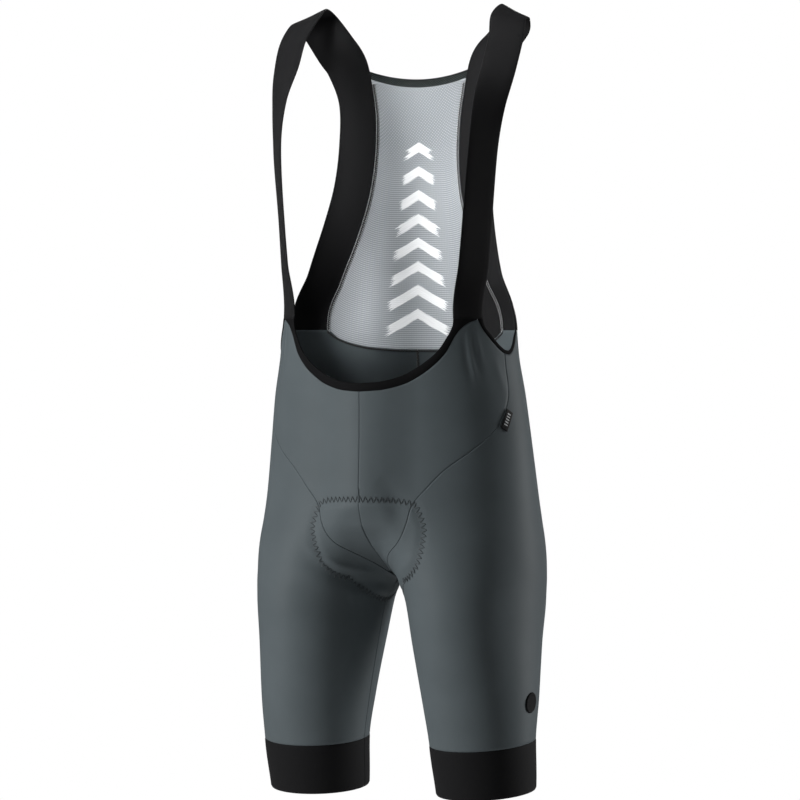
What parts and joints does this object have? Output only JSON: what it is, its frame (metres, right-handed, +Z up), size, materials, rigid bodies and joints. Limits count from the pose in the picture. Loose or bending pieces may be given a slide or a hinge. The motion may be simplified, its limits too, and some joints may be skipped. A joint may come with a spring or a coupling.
{
  "type": "cycling bib shorts",
  "caption": "Knee-length sports shorts in dark knit with elastic leg grippers, a scooped front, wide shoulder straps and a pale mesh back, shown filled out as worn.",
  "frame": {"origin": "midway between the tops of the two shoulder straps, where the wearer's shoulders hold the garment", "axes": "+Z up, the front of the garment faces -Y, the wearer's left is towards +X"},
  "size_m": [0.338, 0.21, 0.8914],
  "materials": {
    "grey_knit": "smooth slate grey stretch knit with a soft satin sheen",
    "gripper_elastic": "matt black elastic knit",
    "strap_elastic": "matt black elastic band",
    "edge_binding": "matt black folded edge tape",
    "pale_mesh": "pale grey knitted mesh",
    "pad_foam": "dark brushed knit over foam",
    "black_woven": "black woven tab",
    "black_transfer": "satin black transfer disc"
  },
  "bodies": {
    "root": {"front_panel_left": "grey_knit", "front_panel_right": "grey_knit", "leg_panel_left": "grey_knit", "leg_panel_right": "grey_knit", "gripper_left": "gripper_elastic", "gripper_right": "gripper_elastic", "scoop_binding": "edge_binding", "armhole_binding_left": "edge_binding", "armhole_binding_right": "edge_binding", "strap_left": "strap_elastic", "strap_right": "strap_elastic", "back_mesh": "pale_mesh", "back_neck_binding": "edge_binding", "seat_pad": "pad_foam", "side_label": "black_woven", "thigh_disc": "black_transfer"}
  },
  "joints": []
}
